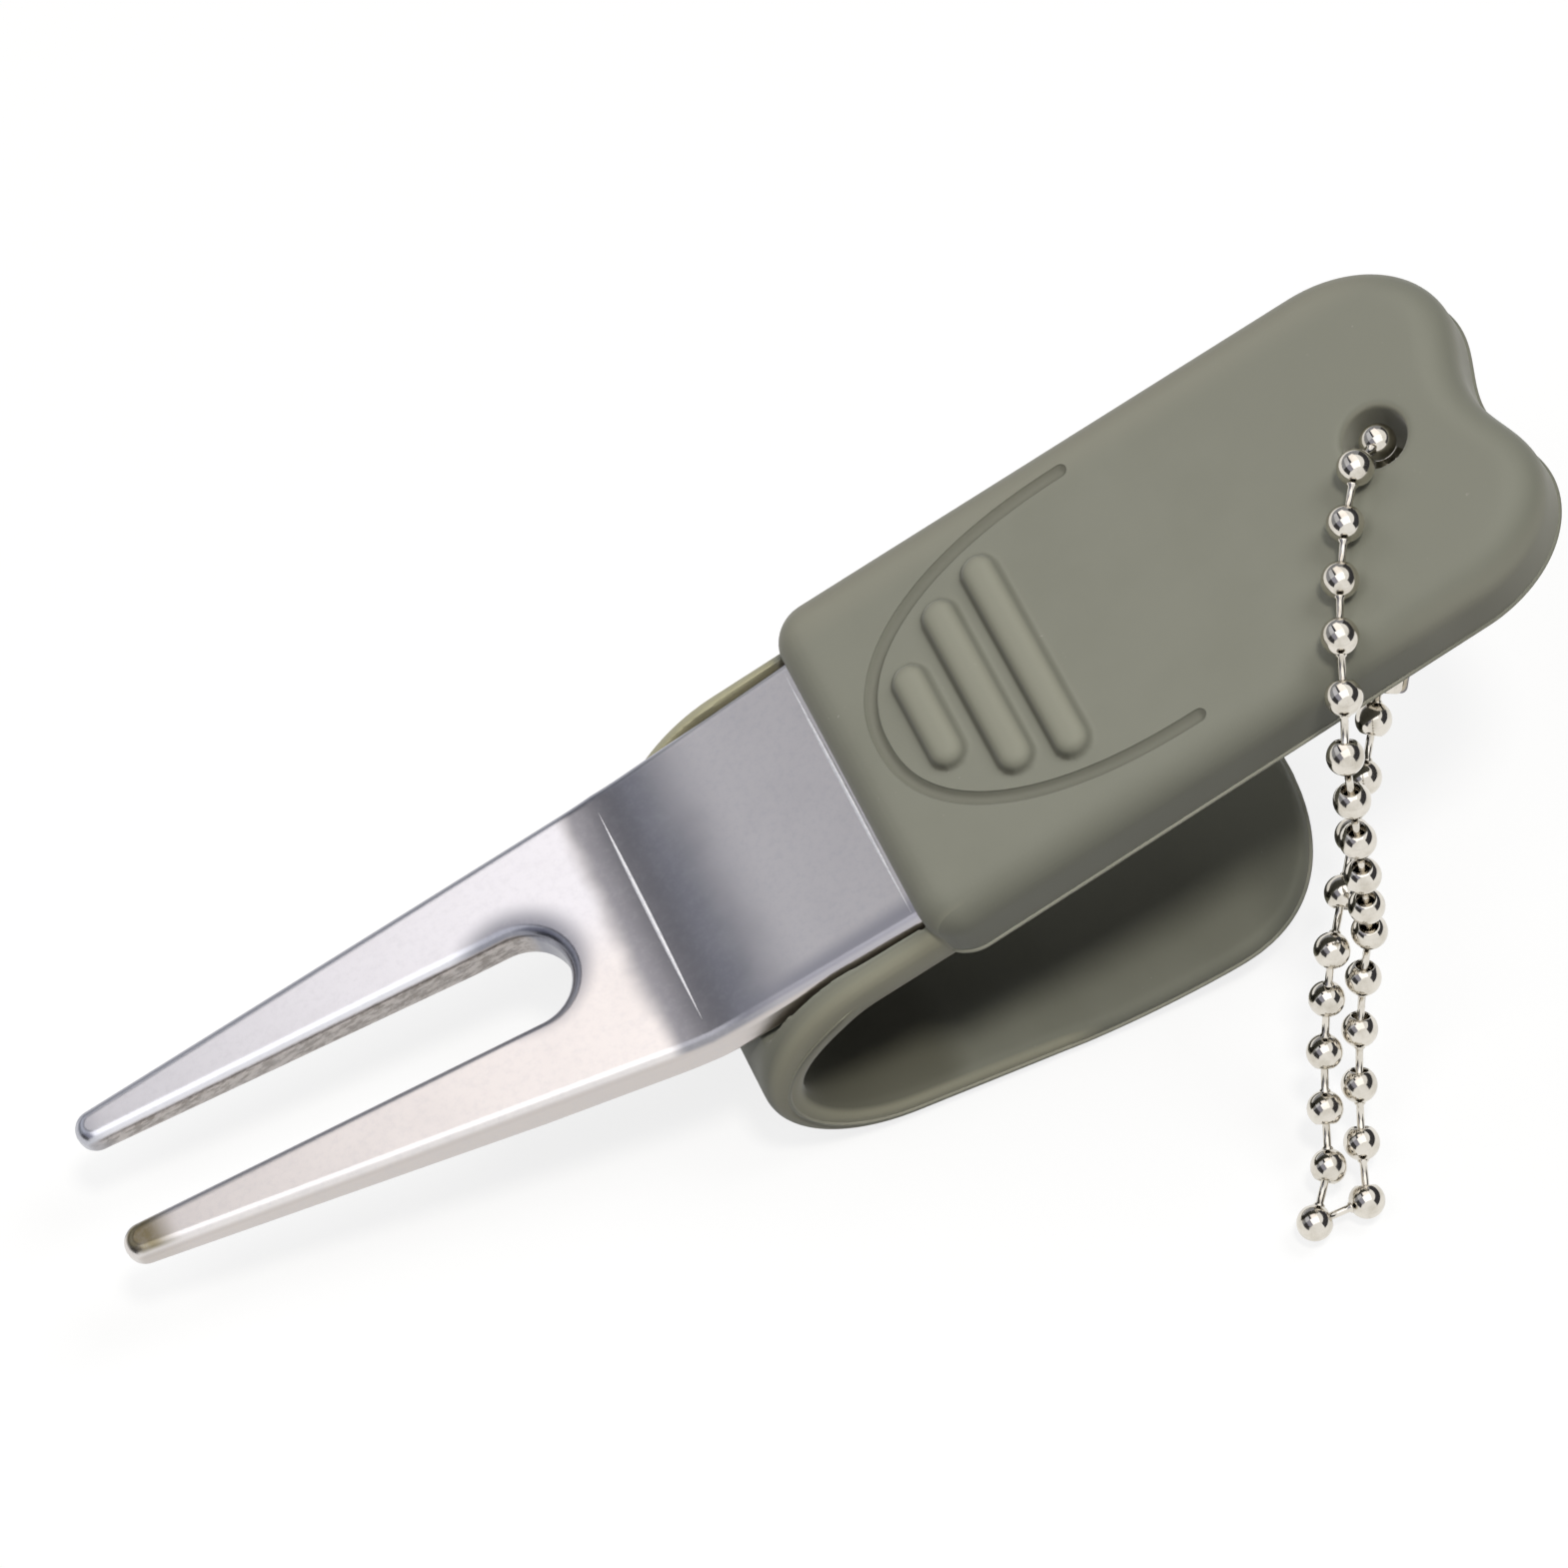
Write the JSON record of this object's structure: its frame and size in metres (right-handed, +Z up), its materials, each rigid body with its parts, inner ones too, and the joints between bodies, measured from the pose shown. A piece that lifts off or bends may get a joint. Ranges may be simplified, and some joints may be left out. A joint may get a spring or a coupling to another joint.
{
  "type": "divot repair tool",
  "caption": "Two-tined steel turf fork set in a rubber grip with a curled belt clip, and a bead chain loop hung through a hole at the tail.",
  "frame": {"origin": "On the table under the middle of the whole tool, chain included, as it stands on the flat of its belt clip.", "axes": "+X runs from the tine tips to the handle's tail, +Y to the side away from the hanging chain, +Z up from the table."},
  "size_m": [0.098, 0.0454, 0.0415],
  "materials": {
    "olive_rubber": "matte olive-grey moulded rubber",
    "satin_steel": "satin polished steel, softly rounded edges",
    "nickel_chain": "bright nickel plate"
  },
  "bodies": {
    "tool": {"grip": "olive_rubber", "fork": "satin_steel"},
    "chain_upper": {"chain_mid": "nickel_chain", "chain_clasp": "nickel_chain", "chain_front_01": "nickel_chain", "chain_front_02": "nickel_chain", "chain_front_03": "nickel_chain", "chain_front_04": "nickel_chain", "chain_front_05": "nickel_chain", "chain_front_06": "nickel_chain", "chain_front_07": "nickel_chain", "chain_front_08": "nickel_chain", "chain_front_09": "nickel_chain", "chain_front_10": "nickel_chain", "chain_front_11": "nickel_chain", "chain_rear_01": "nickel_chain", "chain_rear_02": "nickel_chain", "chain_rear_03": "nickel_chain", "chain_rear_04": "nickel_chain", "chain_rear_05": "nickel_chain", "chain_rear_06": "nickel_chain", "chain_rear_07": "nickel_chain", "chain_rear_08": "nickel_chain", "chain_left_01": "nickel_chain"},
    "chain_loop": {"chain_right_01": "nickel_chain", "chain_right_02": "nickel_chain", "chain_right_03": "nickel_chain", "chain_left_02": "nickel_chain", "chain_left_03": "nickel_chain", "chain_left_04": "nickel_chain"},
    "chain_end": {"chain_right_04": "nickel_chain", "chain_right_05": "nickel_chain", "chain_right_06": "nickel_chain", "chain_left_05": "nickel_chain", "chain_left_06": "nickel_chain"}
  },
  "joints": [
    {"name": "chain_swing", "type": "hinge", "parent": "tool", "child": "chain_upper", "pos_m": [0.0415, 0.00936, 0.03492], "axis": [-0.3746, 0, 0.9272], "range_deg": [0, 90]},
    {"name": "loop_fold", "type": "hinge", "parent": "chain_upper", "child": "chain_loop", "pos_m": [0.02965, -0.01008, 0.01457], "axis": [-0.9379, 0.0724, -0.3393], "range_deg": [0, 16]},
    {"name": "end_fold", "type": "hinge", "parent": "chain_loop", "child": "chain_end", "pos_m": [0.02671, -0.01564, 0.00541], "axis": [-0.9708, -0.1525, -0.1853], "range_deg": [0, 16]}
  ]
}
